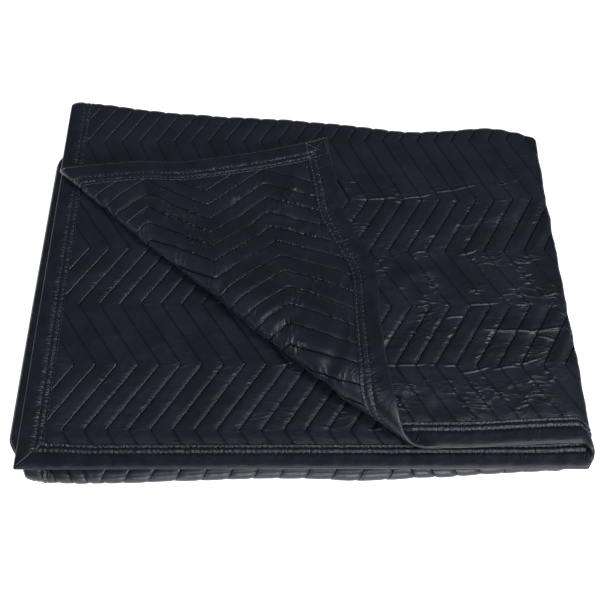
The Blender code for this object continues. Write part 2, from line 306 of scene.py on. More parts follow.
def roll_frame():
    """Start, direction, side and length of the turned-back corner's roll."""
    start = np.array(ROLL_LEFT)
    line = np.array(ROLL_FRONT) - start
    length = float(np.hypot(*line))
    run = line / length
    return start, run, np.array((run[1], -run[0])), length


def beyond_roll(x, y):
    """Share of the way along the roll, and distance past it towards the corner."""
    start, run, side, length = roll_frame()
    share = ((x - start[0]) * run[0] + (y - start[1]) * run[1]) / length
    return share, (x - start[0]) * side[0] + (y - start[1]) * side[1]


def turn_back(x, y):
    """Shift in x, y and z that rolls the corner back, and how far it lies past the roll."""
    side = roll_frame()[2]
    share, beyond = beyond_roll(x, y)
    radius, bow, stretch = read_table(ROLL, share)
    past = np.maximum(beyond - bow, 0.0)
    angle = np.minimum(past / radius, math.pi)
    flat = np.maximum(past - math.pi * radius, 0.0)
    shift = ROLL_SPREAD * radius * np.sin(angle) - flat * (1.0 + stretch) - past
    rise = ROLL_LIFT * radius * (1.0 - np.cos(angle))
    drop = (2.0 * ROLL_LIFT * radius - SETTLE_REST) * smooth(flat, 0.0, SETTLE_LENGTH)
    lying = smooth(past, 0.0, math.pi * radius + LYING_LENGTH)
    return shift * side[0], shift * side[1], rise - drop, lying


def middle_surface(u, v):
    """Place of the sheet's mid-surface in the folded packet."""
    x, offset = across(u)
    y, z, normal_y, normal_z, share = along(u, v)
    upper = 1.0 - smooth(u, HALF_WIDTH - 0.05, HALF_WIDTH + 0.05)
    front, back, _, _ = runs(u)
    folded = smooth(v, back - front, back - front + TURN_LENGTH)
    left, right = read_table(SIDE_SHIFT, share)
    leftness = 1.0 - smooth(x, LEFT_X, LEFT_X + SIDE_FADE)
    x = x + folded * ((left - PAIR_STEP * upper) * leftness + right * (1.0 - leftness))
    flare = smooth(-y, -0.30, 0.35) * smooth(x, 0.2, 0.46)
    x = x + FLARE * (1.0 - folded) * (1.0 - leftness) * flare
    y = y + normal_y * offset
    z = z + normal_z * offset
    top_left = (u < BEND_START) & (folded <= 0.0)
    shift_x, shift_y, lift, lying = turn_back(x, y)
    near_side = lying * (1.0 - smooth(u, 0.0, FLAP_SIDE_FADE))
    near_end = lying * (1.0 - smooth(v, 0.0, FLAP_END_FADE))
    shift_x = shift_x + near_end * read_table(FLAP_END, u)[0]
    shift_y = shift_y + near_side * read_table(FLAP_SIDE, v)[0]
    x = x + np.where(top_left, shift_x, 0.0)
    y = y + np.where(top_left, shift_y, 0.0)
    swell = np.zeros_like(x)
    for centre_x, centre_y, reach, amount in SWELLS:
        swell = swell + amount * np.exp(-((x - centre_x) ** 2 + (y - centre_y) ** 2) / reach ** 2)
    z = z * (1.0 + swell * smooth(z, CLOTH_HALF, 0.03)) + np.where(top_left, lift, 0.0)
    return np.stack((x, y, z), axis=-1)


def packet_shift():
    """How far the CAD model's centring moved the packet."""
    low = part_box("binding_front")[0]
    return np.array((low[0] - LEFT_X + TAPE_REACH, low[1] - FRONT_Y + TAPE_REACH, 0.0))


SHIFT = packet_shift()
# Height below which the underside is pressed flat by the floor
FLOOR_PRESS = 0.0006
SLOPE_STEP = 0.0004


def sheet_point(u, v, w):
    """Place of a point at height w above the mid-surface at (u, v)."""
    slope_u = middle_surface(u + SLOPE_STEP, v) - middle_surface(u - SLOPE_STEP, v)
    slope_v = middle_surface(u, v + SLOPE_STEP) - middle_surface(u, v - SLOPE_STEP)
    normal = np.cross(slope_u, slope_v)
    normal /= np.linalg.norm(normal, axis=-1, keepdims=True)
    place = middle_surface(u, v) + normal * np.asarray(w)[..., None] + SHIFT
    low = np.minimum(place[..., 2] / FLOOR_PRESS - 1.0, 0.0)
    place[..., 2] = np.where(low < 0.0, FLOOR_PRESS * np.exp(low), place[..., 2])
    return place


# Quilting ---------------------------------------------------------------------------


def lower_share(u):
    """0 on the upper half of the sheet, 1 on the lower, turning over at the side fold."""
    return smooth(u, 0.80, 1.05)


def quilt_row(u, v):
    """Position in the rows of zigzag corners: a whole number on each row."""
    lower = lower_share(u)
    start = ROW_START + 0.003 * lower - read_table(SETBACK, u)[0]
    row = (v - start) / (ROW_PITCH + 0.0035 * lower)
    return row - BACK_ROW_STRETCH * np.clip(row - BACK_ROW, 0.0, BACK_ROW_REACH)


def seam_swing(u, v):
    """How far a zigzag seam stands at v from where it crosses the even rows."""
    swing = SWING_UPPER + (SWING_LOWER - SWING_UPPER) * lower_share(u)
    return swing, 1.0 - np.abs(1.0 - np.mod(quilt_row(u, v), 2.0))


def seam_number(u, v):
    """Zigzag seam number at (u, v): a whole number on each seam."""
    swing, share = seam_swing(u, v)
    return read_table(SEAMS, u + swing * share)[0]


def lean_window(u):
    """Where the mesh's lines follow the zigzag: not near the edges nor the side fold."""
    upper = smooth(u, 0.0, 0.12) * (1.0 - smooth(u, 0.79, 0.885))
    lower = smooth(u, 0.945, 1.04) * (1.0 - smooth(u, WIDTH - 0.12, WIDTH))
    return upper + lower


def waves(u, v):
    """Slow unevenness of hand-folded cloth, about 1 high."""
    total = 0.0
    for reach, turn, phase in ((0.19, 0.4, 0.3), (0.13, 1.9, 2.1), (0.085, 2.6, 4.0), (0.061, 0.9, 1.2)):
        place = (u * math.cos(turn) + v * math.sin(turn)) / reach
        total = total + np.sin(2.0 * math.pi * place + phase + 1.3 * np.sin(9.0 * u - 7.0 * v + phase))
    return total / 4.0


def pillow(seam, v):
    """Uneven fullness along each channel, different from one channel to the next."""
    channel = np.floor(seam)
    first = np.sin(2.0 * math.pi * v / 0.031 + 5.1 * channel + 2.0 * np.sin(41.0 * v + channel))
    second = np.sin(2.0 * math.pi * v / 0.019 + 2.3 * channel * channel)
    return 0.6 * first + 0.4 * second


def crease_height(u, v):
    """Height of the pressed creases at (u, v)."""
    height = np.zeros_like(u)
    for u0, v0, u1, v1, half, rise in CREASES:
        length = math.hypot(u1 - u0, v1 - v0)
        run = ((u - u0) * (u1 - u0) + (v - v0) * (v1 - v0)) / length
        off = ((u - u0) * (v1 - v0) - (v - v0) * (u1 - u0)) / length
        off = off + 0.003 * np.sin(run * 60.0 + u0 * 50.0)
        ends = smooth(run, -0.006, 0.014) * (1.0 - smooth(run, length - 0.014, length + 0.006))
        height = height + rise * ends * np.exp(-(off / half) ** 2)
    return height


def edge_distance(u, v):
    """Distance of a point of the flat sheet to its nearest edge."""
    return np.minimum(np.minimum(u, WIDTH - u), np.minimum(v, LENGTH - v))


def seam_strength(u, v):
    """How deep the seams are drawn in: less in every other band, but all alike on the flap."""
    row = quilt_row(u, v) + (u > HALF_WIDTH)
    leaning = smooth(np.abs(np.mod(row + 0.5, 2.0) - 1.0), 0.44, 0.56)
    flap = (u < 0.62) & (v < 0.55)
    return np.where(flap, 1.0, BACK_BAND + (1.0 - BACK_BAND) * leaning)


def quilt_half(u, v, detail):
    """Half thickness of the quilted cloth, full between the seams and thin at the tapes."""
    seam = seam_number(u, v)
    share = np.mod(seam, 1.0)
    rounded = np.sin(math.pi * share) ** 2
    sharp = 1.0 - np.abs(2.0 * share - 1.0) ** 4.5
    window = lean_window(u)
    form = window * sharp + (1.0 - window) * rounded
    form = form * (1.0 + 0.16 * pillow(seam, v))
    full = CROWN_HALF - (CROWN_HALF - SEAM_HALF) * (1.0 - form) * seam_strength(u, v)
    full = detail * full + (1.0 - detail) * 0.0021
    tape = blanket_settings().tape_width
    return EDGE_HALF + (full - EDGE_HALF) * smooth(edge_distance(u, v), tape - 0.006, tape + 0.008)


# Sheet mesh -------------------------------------------------------------------------

FINE_ACROSS = 8
FINE_ALONG = 5
BLOCK_ROWS = (24, 3, 24, 3, 24)


def seam_columns():
    """Coarse lines along the sheet: its edges, the side fold, and every zigzag seam."""
    places = np.linspace(0.0, WIDTH, 20001)
    swing = SWING_UPPER + (SWING_LOWER - SWING_UPPER) * lower_share(places)
    numbers = read_table(SEAMS, places + 0.5 * swing)[0]
    seams = np.interp(np.arange(math.ceil(numbers[0]), math.ceil(numbers[-1])), numbers, places)
    gap = 0.020
    kept = seams[(seams > 0.008) & (seams < BEND_START - gap)].tolist()
    bend = [BEND_START - 0.008, BEND_START, HALF_WIDTH, BEND_END, BEND_END + 0.008]
    later = seams[(seams > BEND_END + gap) & (seams < WIDTH - 0.008)].tolist()
    return np.array([0.0] + kept + bend + later + [WIDTH])


def lattice_point(columns, i, j):
    """Flat (u, v) of the lattice point in fine column i and fine row j."""
    steps = np.arange(len(columns)) * FINE_ACROSS
    base = np.interp(i, steps, columns)
    edges = np.cumsum((0,) + BLOCK_ROWS) * FINE_ALONG
    u = base
    for _ in range(2):
        front, back, under, _ = runs(u)
        first = back - front
        second = back - under
        stops = [0.0 * first, first, first + TURN_LENGTH, first + TURN_LENGTH + second]
        stops += [stops[3] + TURN_LENGTH, 0.0 * first + LENGTH]
        v = np.zeros_like(base)
        for block in range(5):
            share = np.clip((j - edges[block]) / (edges[block + 1] - edges[block]), 0.0, 1.0)
            v = v + (stops[block + 1] - stops[block]) * share
        swing, share = seam_swing(base, v)
        u = base - lean_window(base) * swing * (share - 0.5)
    return u, v


def fine_cells(columns, rows, outer):
    """Which coarse cells of the outer or inner skin are modelled finely."""
    count = len(columns) - 1
    i, j = np.meshgrid(np.arange(count), np.arange(rows), indexing="ij")
    middle = (columns[:-1] + columns[1:])[:, None] / 2.0 + 0.0 * i
    first_run = j < BLOCK_ROWS[0] + BLOCK_ROWS[1]
    front_y, back_y, _, _ = runs(middle)
    v = (back_y - front_y) * (j + 0.5) / BLOCK_ROWS[0]
    beyond = beyond_roll(across(middle)[0], front_y + v)[1]
    open_corner = (beyond > -0.07) & (j < BLOCK_ROWS[0])
    side_fold = np.abs(middle - HALF_WIDTH) < 0.016
    turn = sum(BLOCK_ROWS[:3])
    front_turn = (j >= turn - 2) & (j < turn + BLOCK_ROWS[3])
    if outer:
        fine = ((middle < HALF_WIDTH) & first_run) | side_fold
        fine = fine | ((middle > HALF_WIDTH) & (front_turn | (j >= turn)))
    else:
        fine = open_corner & ~side_fold
    fine[[0, -1], :] = False
    fine[:, [0, -1]] = False
    return fine


def skin_faces(fine, point):
    """Faces of one skin over the lattice, and whether each fine point touches coarse ones."""
    count, rows = fine.shape
    faces = []
    i_step = np.arange(FINE_ACROSS)
    j_step = np.arange(FINE_ALONG)
    for i, j in np.argwhere(fine):
        left, low = np.meshgrid(i * FINE_ACROSS + i_step, j * FINE_ALONG + j_step, indexing="ij")
        corners = (point(left, low), point(left + 1, low), point(left + 1, low + 1), point(left, low + 1))
        faces += np.stack(corners, axis=-1).reshape(-1, 4).tolist()
    for i, j in np.argwhere(~fine):
        west, south = i * FINE_ACROSS, j * FINE_ALONG
        east, north = west + FINE_ACROSS, south + FINE_ALONG
        near = (
            j > 0 and fine[i, j - 1],
            i + 1 < count and fine[i + 1, j],
            j + 1 < rows and fine[i, j + 1],
            i > 0 and fine[i - 1, j],
        )
        ring = []
        ring += [(k, south) for k in (range(west, east) if near[0] else (west,))]
        ring += [(east, k) for k in (range(south, north) if near[1] else (south,))]
        ring += [(k, north) for k in (range(east, west, -1) if near[2] else (east,))]
        ring += [(west, k) for k in (range(north, south, -1) if near[3] else (north,))]
        indices = [int(point(a, b)) for a, b in ring]
        if len(indices) == 4:
            faces.append(indices)
            continue
        hub = int(point(west + FINE_ACROSS // 2, south + FINE_ALONG // 2))
        faces += [[hub, a, b] for a, b in zip(indices, indices[1:] + indices[:1])]
    return faces


def detail_mask(fine):
    """1 at lattice points that touch only fine cells, 0 at the others."""
    count, rows = fine.shape
    mask = np.ones((count * FINE_ACROSS + 1, rows * FINE_ALONG + 1))
    for i, j in np.argwhere(~fine):
        mask[i * FINE_ACROSS:(i + 1) * FINE_ACROSS + 1, j * FINE_ALONG:(j + 1) * FINE_ALONG + 1] = 0.0
    return mask


def cloth_mesh():
    """Points, faces and flat coordinates of the whole quilted sheet."""
    columns = seam_columns()
    rows = sum(BLOCK_ROWS)
    wide = (len(columns) - 1) * FINE_ACROSS + 1
    tall = rows * FINE_ALONG + 1
    size = wide * tall
    outer = fine_cells(columns, rows, True)
    inner = fine_cells(columns, rows, False)
    faces = skin_faces(outer, lambda a, b: a * tall + b)
    below = skin_faces(inner, lambda a, b: a * tall + b)
    faces += [[index + size for index in reversed(face)] for face in below]
    # the raw edge, under the tapes
    ring = [(i, 0) for i in range(0, wide - 1, FINE_ACROSS)]
    ring += [(wide - 1, j) for j in range(0, tall - 1, FINE_ALONG)]
    ring += [(i, tall - 1) for i in range(wide - 1, 0, -FINE_ACROSS)]
    ring += [(0, j) for j in range(tall - 1, 0, -FINE_ALONG)]
    ring = [i * tall + j for i, j in ring]
    faces += [[b, a, a + size, b + size] for a, b in zip(ring, ring[1:] + ring[:1])]
    i, j = np.meshgrid(np.arange(wide), np.arange(tall), indexing="ij")
    used = np.unique(np.concatenate([np.array(face) for face in faces]))
    order = np.zeros(2 * size, dtype=int)
    order[used] = np.arange(len(used))
    faces = [[int(order[index]) for index in face] for face in faces]
    is_inner = used >= size
    place = used % size
    u, v = lattice_point(columns, i.ravel()[place].astype(float), j.ravel()[place].astype(float))
    detail = np.where(is_inner, detail_mask(inner).ravel()[place], detail_mask(outer).ravel()[place])
    half = quilt_half(u, v, detail)
    inside = smooth(edge_distance(u, v), 0.04, 0.08)
    sway = (SWAY_HEIGHT * waves(u, v) + crease_height(u, v)) * inside
    points = sheet_point(u, v, np.where(is_inner, -half, half) + sway)
    seams = np.stack((seam_number(u, v), quilt_row(u, v)), axis=-1)
    return points, faces, {"metres": np.stack((u, v), axis=-1), "seams": seams}


def mesh_object(name, points, faces, maps, material):
    """A closed, smooth object with its own flat coordinate maps."""
    data = bpy.data.meshes.new(name)
    data.from_pydata(points.tolist(), [], faces)
    index = np.zeros(len(data.loops), dtype=np.int32)
    data.loops.foreach_get("vertex_index", index)
    for map_name, values in maps.items():
        layer = data.uv_layers.new(name=map_name)
        layer.data.foreach_set("uv", values[index].astype(np.float32).ravel())
    data.polygons.foreach_set("use_smooth", np.ones(len(data.polygons), dtype=bool))
    data.materials.append(material)
    made = bpy.data.objects.new(name, data)
    bpy.context.collection.objects.link(made)
    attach(made, "root")
    return made


# Bindings ---------------------------------------------------------------------------

# Outer face of the tape: distance in from the cloth's edge, height
TAPE_FACE = (
    (-0.0016, 0.0000),
    (-0.0014, 0.0010),
    (-0.0008, 0.0018),
    (0.0004, 0.0026),
    (0.0022, 0.0032),
    (0.0046, 0.0036),
    (0.0085, 0.0038),
    (0.0140, 0.0038),
    (0.0205, 0.0034),
    (0.0240, 0.0029),
    (0.0260, 0.0021),
    (0.0272, 0.0016),
    (0.0284, 0.0021),
    (0.0304, 0.0030),
    (0.0324, 0.0033),
    (0.0346, 0.0029),
    (0.0363, 0.0021),
    (0.0375, 0.0016),
    (0.0386, 0.0021),
    (0.0400, 0.0028),
    (0.0412, 0.0029),
    (0.0420, 0.0026),
    (0.0423, 0.0019),
    (0.0420, 0.0013),
)
TAPE_BACK = ((0.0300, 0.0011), (0.0150, 0.0011), (0.0006, 0.0011))
STITCH_ROWS = (0.0272, 0.0375)
# The front tape is doubled from its corner to here, and stands this much higher
LAP_END = 0.170
LAP_RISE = 0.0009
# How much less of the tape lies on the lower half's face at the front
FRONT_NARROWING = 0.08

# Each binding: the edge it covers, as start (u, v), direction and length
EDGES = {
    "binding_front": ((0.0, 0.0), (1.0, 0.0), WIDTH),
    "binding_left_top": ((0.0, 0.0), (0.0, 1.0), LENGTH),
    "binding_left_under": ((WIDTH, 0.0), (0.0, 1.0), LENGTH),
    "binding_back": ((0.0, LENGTH), (1.0, 0.0), WIDTH),
}


def edge_place(name, run, depth):
    """Flat (u, v) at a distance run along an edge and depth in from it."""
    (start_u, start_v), (way_u, way_v), _ = EDGES[name]
    if name == "binding_front":
        lower = smooth(run, 0.93, 1.00) * (1.0 - smooth(run, WIDTH - 0.12, WIDTH - 0.05))
        depth = depth * (1.0 - FRONT_NARROWING * lower)
    in_u = 0.0 if way_u else (1.0 if start_u == 0.0 else -1.0)
    in_v = 0.0 if way_v else (1.0 if start_v == 0.0 else -1.0)
    return start_u + way_u * run + in_u * depth, start_v + way_v * run + in_v * depth


def tape_height(name, run, depth, base):
    """Height of the tape's face, drawn in at its stitches and where a quilt seam meets it."""
    u, v = edge_place(name, run, np.maximum(depth, 0.0))
    pitch = blanket_settings().stitch_pitch
    near = sum(np.exp(-((depth - row) / 0.0034) ** 2) for row in STITCH_ROWS)
    tightness = 0.00020 if name.startswith("binding_left") else 0.00045
    puff = tightness * near * np.cos(2.0 * math.pi * run / pitch)
    share = np.abs(np.mod(seam_number(u, v) + 0.5, 1.0) - 0.5)
    dent = 0.00060 * np.exp(-(share / 0.10) ** 2) * smooth(depth, 0.004, 0.024)
    lap = LAP_RISE if name == "binding_front" else 0.0
    lapped = lap * (1.0 - smooth(run, LAP_END - 0.004, LAP_END))
    soft = 0.00022 * np.sin(run * 171.0 + 2.0 * np.sin(run * 53.0)) * smooth(depth, 0.0, 0.010)
    return base + (base > 0.0009) * (puff - dent + soft + lapped)


def tape_mesh(name):
    """One length of tape folded round the sheet's edge, with mitred ends."""
    length = EDGES[name][2]
    face = [(depth, height, True) for depth, height in reversed(TAPE_FACE)]
    face += [(depth, -height, True) for depth, height in TAPE_FACE[1:]]
    back = [(depth, -height, False) for depth, height in TAPE_BACK]
    back += [(depth, height, False) for depth, height in reversed(TAPE_BACK)]
    profile = face + back
    count = int(length / 0.0032)
    share = np.linspace(0.0, 1.0, count + 1)[:, None]
    depth = np.array([item[0] for item in profile])[None, :]
    height = np.array([item[1] for item in profile])[None, :]
    shown = np.array([item[2] for item in profile])[None, :]
    inset = np.maximum(depth, 0.0) + 0.0003
    run = inset + (length - 2.0 * inset) * share
    deep = depth + 0.0 * share
    lifted = np.sign(height) * tape_height(name, run, deep, np.abs(height) + 0.0 * share)
    level = np.where(shown, lifted, height)
    u, v = edge_place(name, run, deep)
    level = level + SWAY_HEIGHT * waves(u, v) * smooth(edge_distance(u, v), 0.04, 0.08)
    points = sheet_point(u, v, level).reshape(-1, 3)
    wide = len(profile)
    faces = []
    for row in range(count):
        low = row * wide
        for column in range(wide):
            after = (column + 1) % wide
            faces.append([low + column, low + after, low + wide + after, low + wide + column])
    # close the mitred ends, from the face across to the back of the tape
    ends = end_caps(len(face), len(back))
    last = count * wide
    faces += [[index for index in reversed(cap)] for cap in ends]
    faces += [[last + index for index in cap] for cap in ends]
    if turns_inward(name):
        faces = [face[::-1] for face in faces]
    maps = {"metres": np.stack((run, deep), axis=-1).reshape(-1, 2)}
    return points, faces, maps


def end_caps(face_count, back_count):
    """Strips of faces that close a tape's end between its face and its back."""
    half = back_count // 2
    # back point that each face point closes against, on its own side
    lower = [face_count + step for step in range(half)]
    upper = [face_count + back_count - 1 - step for step in range(half)]
    caps = []
    for side, chain in ((upper, range(0, face_count // 2 + 1)),
                        (lower, range(face_count - 1, face_count // 2 - 1, -1))):
        chain = list(chain)
        near = []
        for index in chain:
            gaps = [abs(depth - TAPE_DEPTHS[index]) for depth, _ in TAPE_BACK]
            near.append(side[gaps.index(min(gaps))])
        for (a, b), (p, q) in zip(zip(chain, chain[1:]), zip(near, near[1:])):
            cap = [a, b, q, p] if p != q else [a, b, p]
            caps.append(cap if side is upper else cap[::-1])
    middle = face_count // 2
    caps.append([middle, lower[-1], upper[-1]])
    return caps


TAPE_DEPTHS = [depth for depth, _ in reversed(TAPE_FACE)] + [depth for depth, _ in TAPE_FACE[1:]]


def turns_inward(name):
    """Whether this edge's direction leaves the tape's faces inside out."""
    return name in ("binding_left_top", "binding_back")


# Stitches ---------------------------------------------------------------------------


def stitch_form():
    """Points (along, aside, up) and faces of one stitch, of unit length and girth."""
    ring = [(0.0, 1.0), (1.0, 0.0), (0.0, -1.0), (-1.0, 0.0)]
    points = [(-0.5, 0.0, -0.6)]
    for along_share, girth in ((-0.32, 0.85), (0.32, 0.85)):
        points += [(along_share, aside * girth, up * girth) for aside, up in ring]
    points.append((0.5, 0.0, -0.6))
    faces = [(0, 1 + (k + 1) % 4, 1 + k) for k in range(4)]
    faces += [(1 + k, 1 + (k + 1) % 4, 5 + (k + 1) % 4, 5 + k) for k in range(4)]
    faces += [(9, 5 + k, 5 + (k + 1) % 4) for k in range(4)]
    return np.array(points), faces


def stitches(places, lengths, girth):
    """One mesh of stitches: each place is (u, v, direction u, direction v, height)."""
    form, form_faces = stitch_form()
    u, v, way_u, way_v, level = (places[:, column][:, None] for column in range(5))
    along_run = form[:, 0][None, :] * lengths[:, None]
    aside = form[:, 1][None, :] * girth
    up = form[:, 2][None, :] * girth * np.sign(level)
    points = sheet_point(u + way_u * along_run - way_v * aside, v + way_v * along_run + way_u * aside,
                         level + up)
    faces = []
    for index in range(len(places)):
        start = index * len(form)
        flip = places[index, 4] < 0.0
        for face in form_faces:
            made = [start + corner for corner in face]
            faces.append(made if flip else made[::-1])
    flat = np.stack((along_run + 0.0 * aside, aside + 0.0 * along_run), axis=-1)
    return points.reshape(-1, 3), faces, {"metres": flat.reshape(-1, 2)}


def binding_stitches(name):
    """Both rows of stitches on both faces of a binding."""
    (_, way, length) = EDGES[name]
    pitch = blanket_settings().stitch_pitch
    places = []
    for row in STITCH_ROWS:
        run = np.arange(row + pitch * 0.5, length - row, pitch)
        for side in (1.0, -1.0):
            u, v = edge_place(name, run, row + 0.0 * run)
            level = tape_height(name, run, row + 0.0 * run, 0.0019 + 0.0 * run) + 0.0002
            columns = (u, v, way[0] + 0.0 * run, way[1] + 0.0 * run, side * level)
            places.append(np.stack(columns, axis=-1))
    places = np.concatenate(places)
    return places, np.full(len(places), 0.62 * pitch)


# The corner's square: from and to, in from both edges; stitch pitch and lift off the tape
CORNER_BOX = (0.0038, 0.0405)
CORNER_PITCH = 0.0046
CORNER_LIFT = 0.0006


def corner_stitches():
    """The square with a cross, sewn through the turned-back corner's two tapes."""
    low, high = CORNER_BOX
    crown = np.array([row for row in TAPE_FACE if row[1] > 0.0025])
    lines = (((low, low), (high, low)), ((high, low), (high, high)), ((high, high), (low, high)),
             ((low, high), (low, low)), ((low, low), (high, high)), ((low, high), (high, low)))
    places = []
    for (u0, v0), (u1, v1) in lines:
        length = math.hypot(u1 - u0, v1 - v0)
        count = round(length / CORNER_PITCH)
        for step in range(count):
            share = (step + 0.5) / count
            for side in (1.0, -1.0):
                u = u0 + (u1 - u0) * share
                v = v0 + (v1 - v0) * share
                level = np.interp(min(u, v), crown[:, 0], crown[:, 1]) + CORNER_LIFT
                places.append((u, v, (u1 - u0) / length, (v1 - v0) / length, side * level))
    places = np.array(places)
    return places, np.full(len(places), CORNER_PITCH * 0.78)


# Finishes ---------------------------------------------------------------------------


class Wire:
    """A number on its way through a material's nodes, so that maths on it is plain Python."""

    def __init__(self, finish, socket):
        self.finish = finish
        self.socket = socket

    def math(self, operation, other=0.0, first=None):
        values = {0: self if first is None else first, 1: other}
        return self.finish.node("ShaderNodeMath", {"operation": operation}, values)

    def __add__(self, other):
        return self.math("ADD", other)

    def __sub__(self, other):
        return self.math("SUBTRACT", other)

    def __mul__(self, other):
        return self.math("MULTIPLY", other)

    def __truediv__(self, other):
        return self.math("DIVIDE", other)

    def __rsub__(self, other):
        return self.math("SUBTRACT", self, first=other)

    def __rtruediv__(self, other):
        return self.math("DIVIDE", self, first=other)

    __radd__ = __add__
    __rmul__ = __mul__


class Finish:
    """A material and the one way in which nodes are added to it."""

    def __init__(self, name):
        self.material = bpy.data.materials.new(name)
        self.material.use_nodes = True
        self.tree = self.material.node_tree
        self.tree.nodes.clear()

    def node(self, kind, settings=None, sockets=None, output=0):
        """Add a node: its settings first, then its sockets' values or links."""
        made = self.tree.nodes.new(kind)
        for key, value in (settings or {}).items():
            setattr(made, key, value)
        for key, value in (sockets or {}).items():
            if isinstance(value, Wire):
                self.tree.links.new(value.socket, made.inputs[key])
            else:
                made.inputs[key].default_value = value
        return Wire(self, made.outputs[output])

    def flat_map(self, name):
        """The two numbers of one of the piece's flat coordinate maps."""
        place = self.node("ShaderNodeUVMap", {"uv_map": name})
        first = self.node("ShaderNodeSeparateXYZ", None, {0: place})
        second = Wire(self, first.socket.node.outputs[1])
        return first, second

    def vector(self, x, y, z=0.0):
        return self.node("ShaderNodeCombineXYZ", None, {0: x, 1: y, 2: z})

    def noise(self, place, scale, detail=2.0, roughness=0.5):
        sockets = {"Vector": place, "Scale": scale, "Detail": detail, "Roughness": roughness}
        return self.node("ShaderNodeTexNoise", {"noise_dimensions": "3D"}, sockets)

    def ramp(self, value, start, end, low=0.0, high=1.0):
        """Rise smoothly from low to high as value goes from start to end."""
        sockets = {"Value": value, "From Min": start, "From Max": end, "To Min": low, "To Max": high}
        return self.node("ShaderNodeMapRange", {"interpolation_type": "SMOOTHSTEP"}, sockets)

    def mix_colour(self, share, first, second):
        sockets = {0: share, 6: first, 7: second}
        return self.node("ShaderNodeMix", {"data_type": "RGBA"}, sockets, output=2)

    def surface(self, colour, roughness, height, constants, shade=None):
        """Close the material: colour, roughness, relief, constants, and where it is shaded."""
        bump = self.node("ShaderNodeBump", None, {"Strength": 1.0, "Distance": 1.0, "Height": height})
        sockets = {"Base Color": colour, "Roughness": roughness, "Normal": bump}
        sockets.update(constants)
        shader = self.node("ShaderNodeBsdfPrincipled", None, sockets)
        if shade:
            # painted shade: a near-black, barely reflecting shader mixed in by the shade mask
            painted_shade_settings = {"Base Color": (0.0008, 0.0009, 0.0015, 1.0), "Roughness": 0.9,
                    "Specular IOR Level": 0.05, "Normal": bump}
            painted_shade_bsdf = self.node("ShaderNodeBsdfPrincipled", None, painted_shade_settings)
            shader = self.node("ShaderNodeMixShader", None, {0: shade, 1: shader, 2: painted_shade_bsdf})
        out = self.tree.nodes.new("ShaderNodeOutputMaterial")
        self.tree.links.new(shader.socket, out.inputs["Surface"])
        return self.material


def ridge(noise_value, sharpness):
    """Turn a noise around one half into thin ridges."""
    off = (noise_value - 0.5).math("ABSOLUTE")
    return (1.0 - off * sharpness).math("MAXIMUM", 0.0)


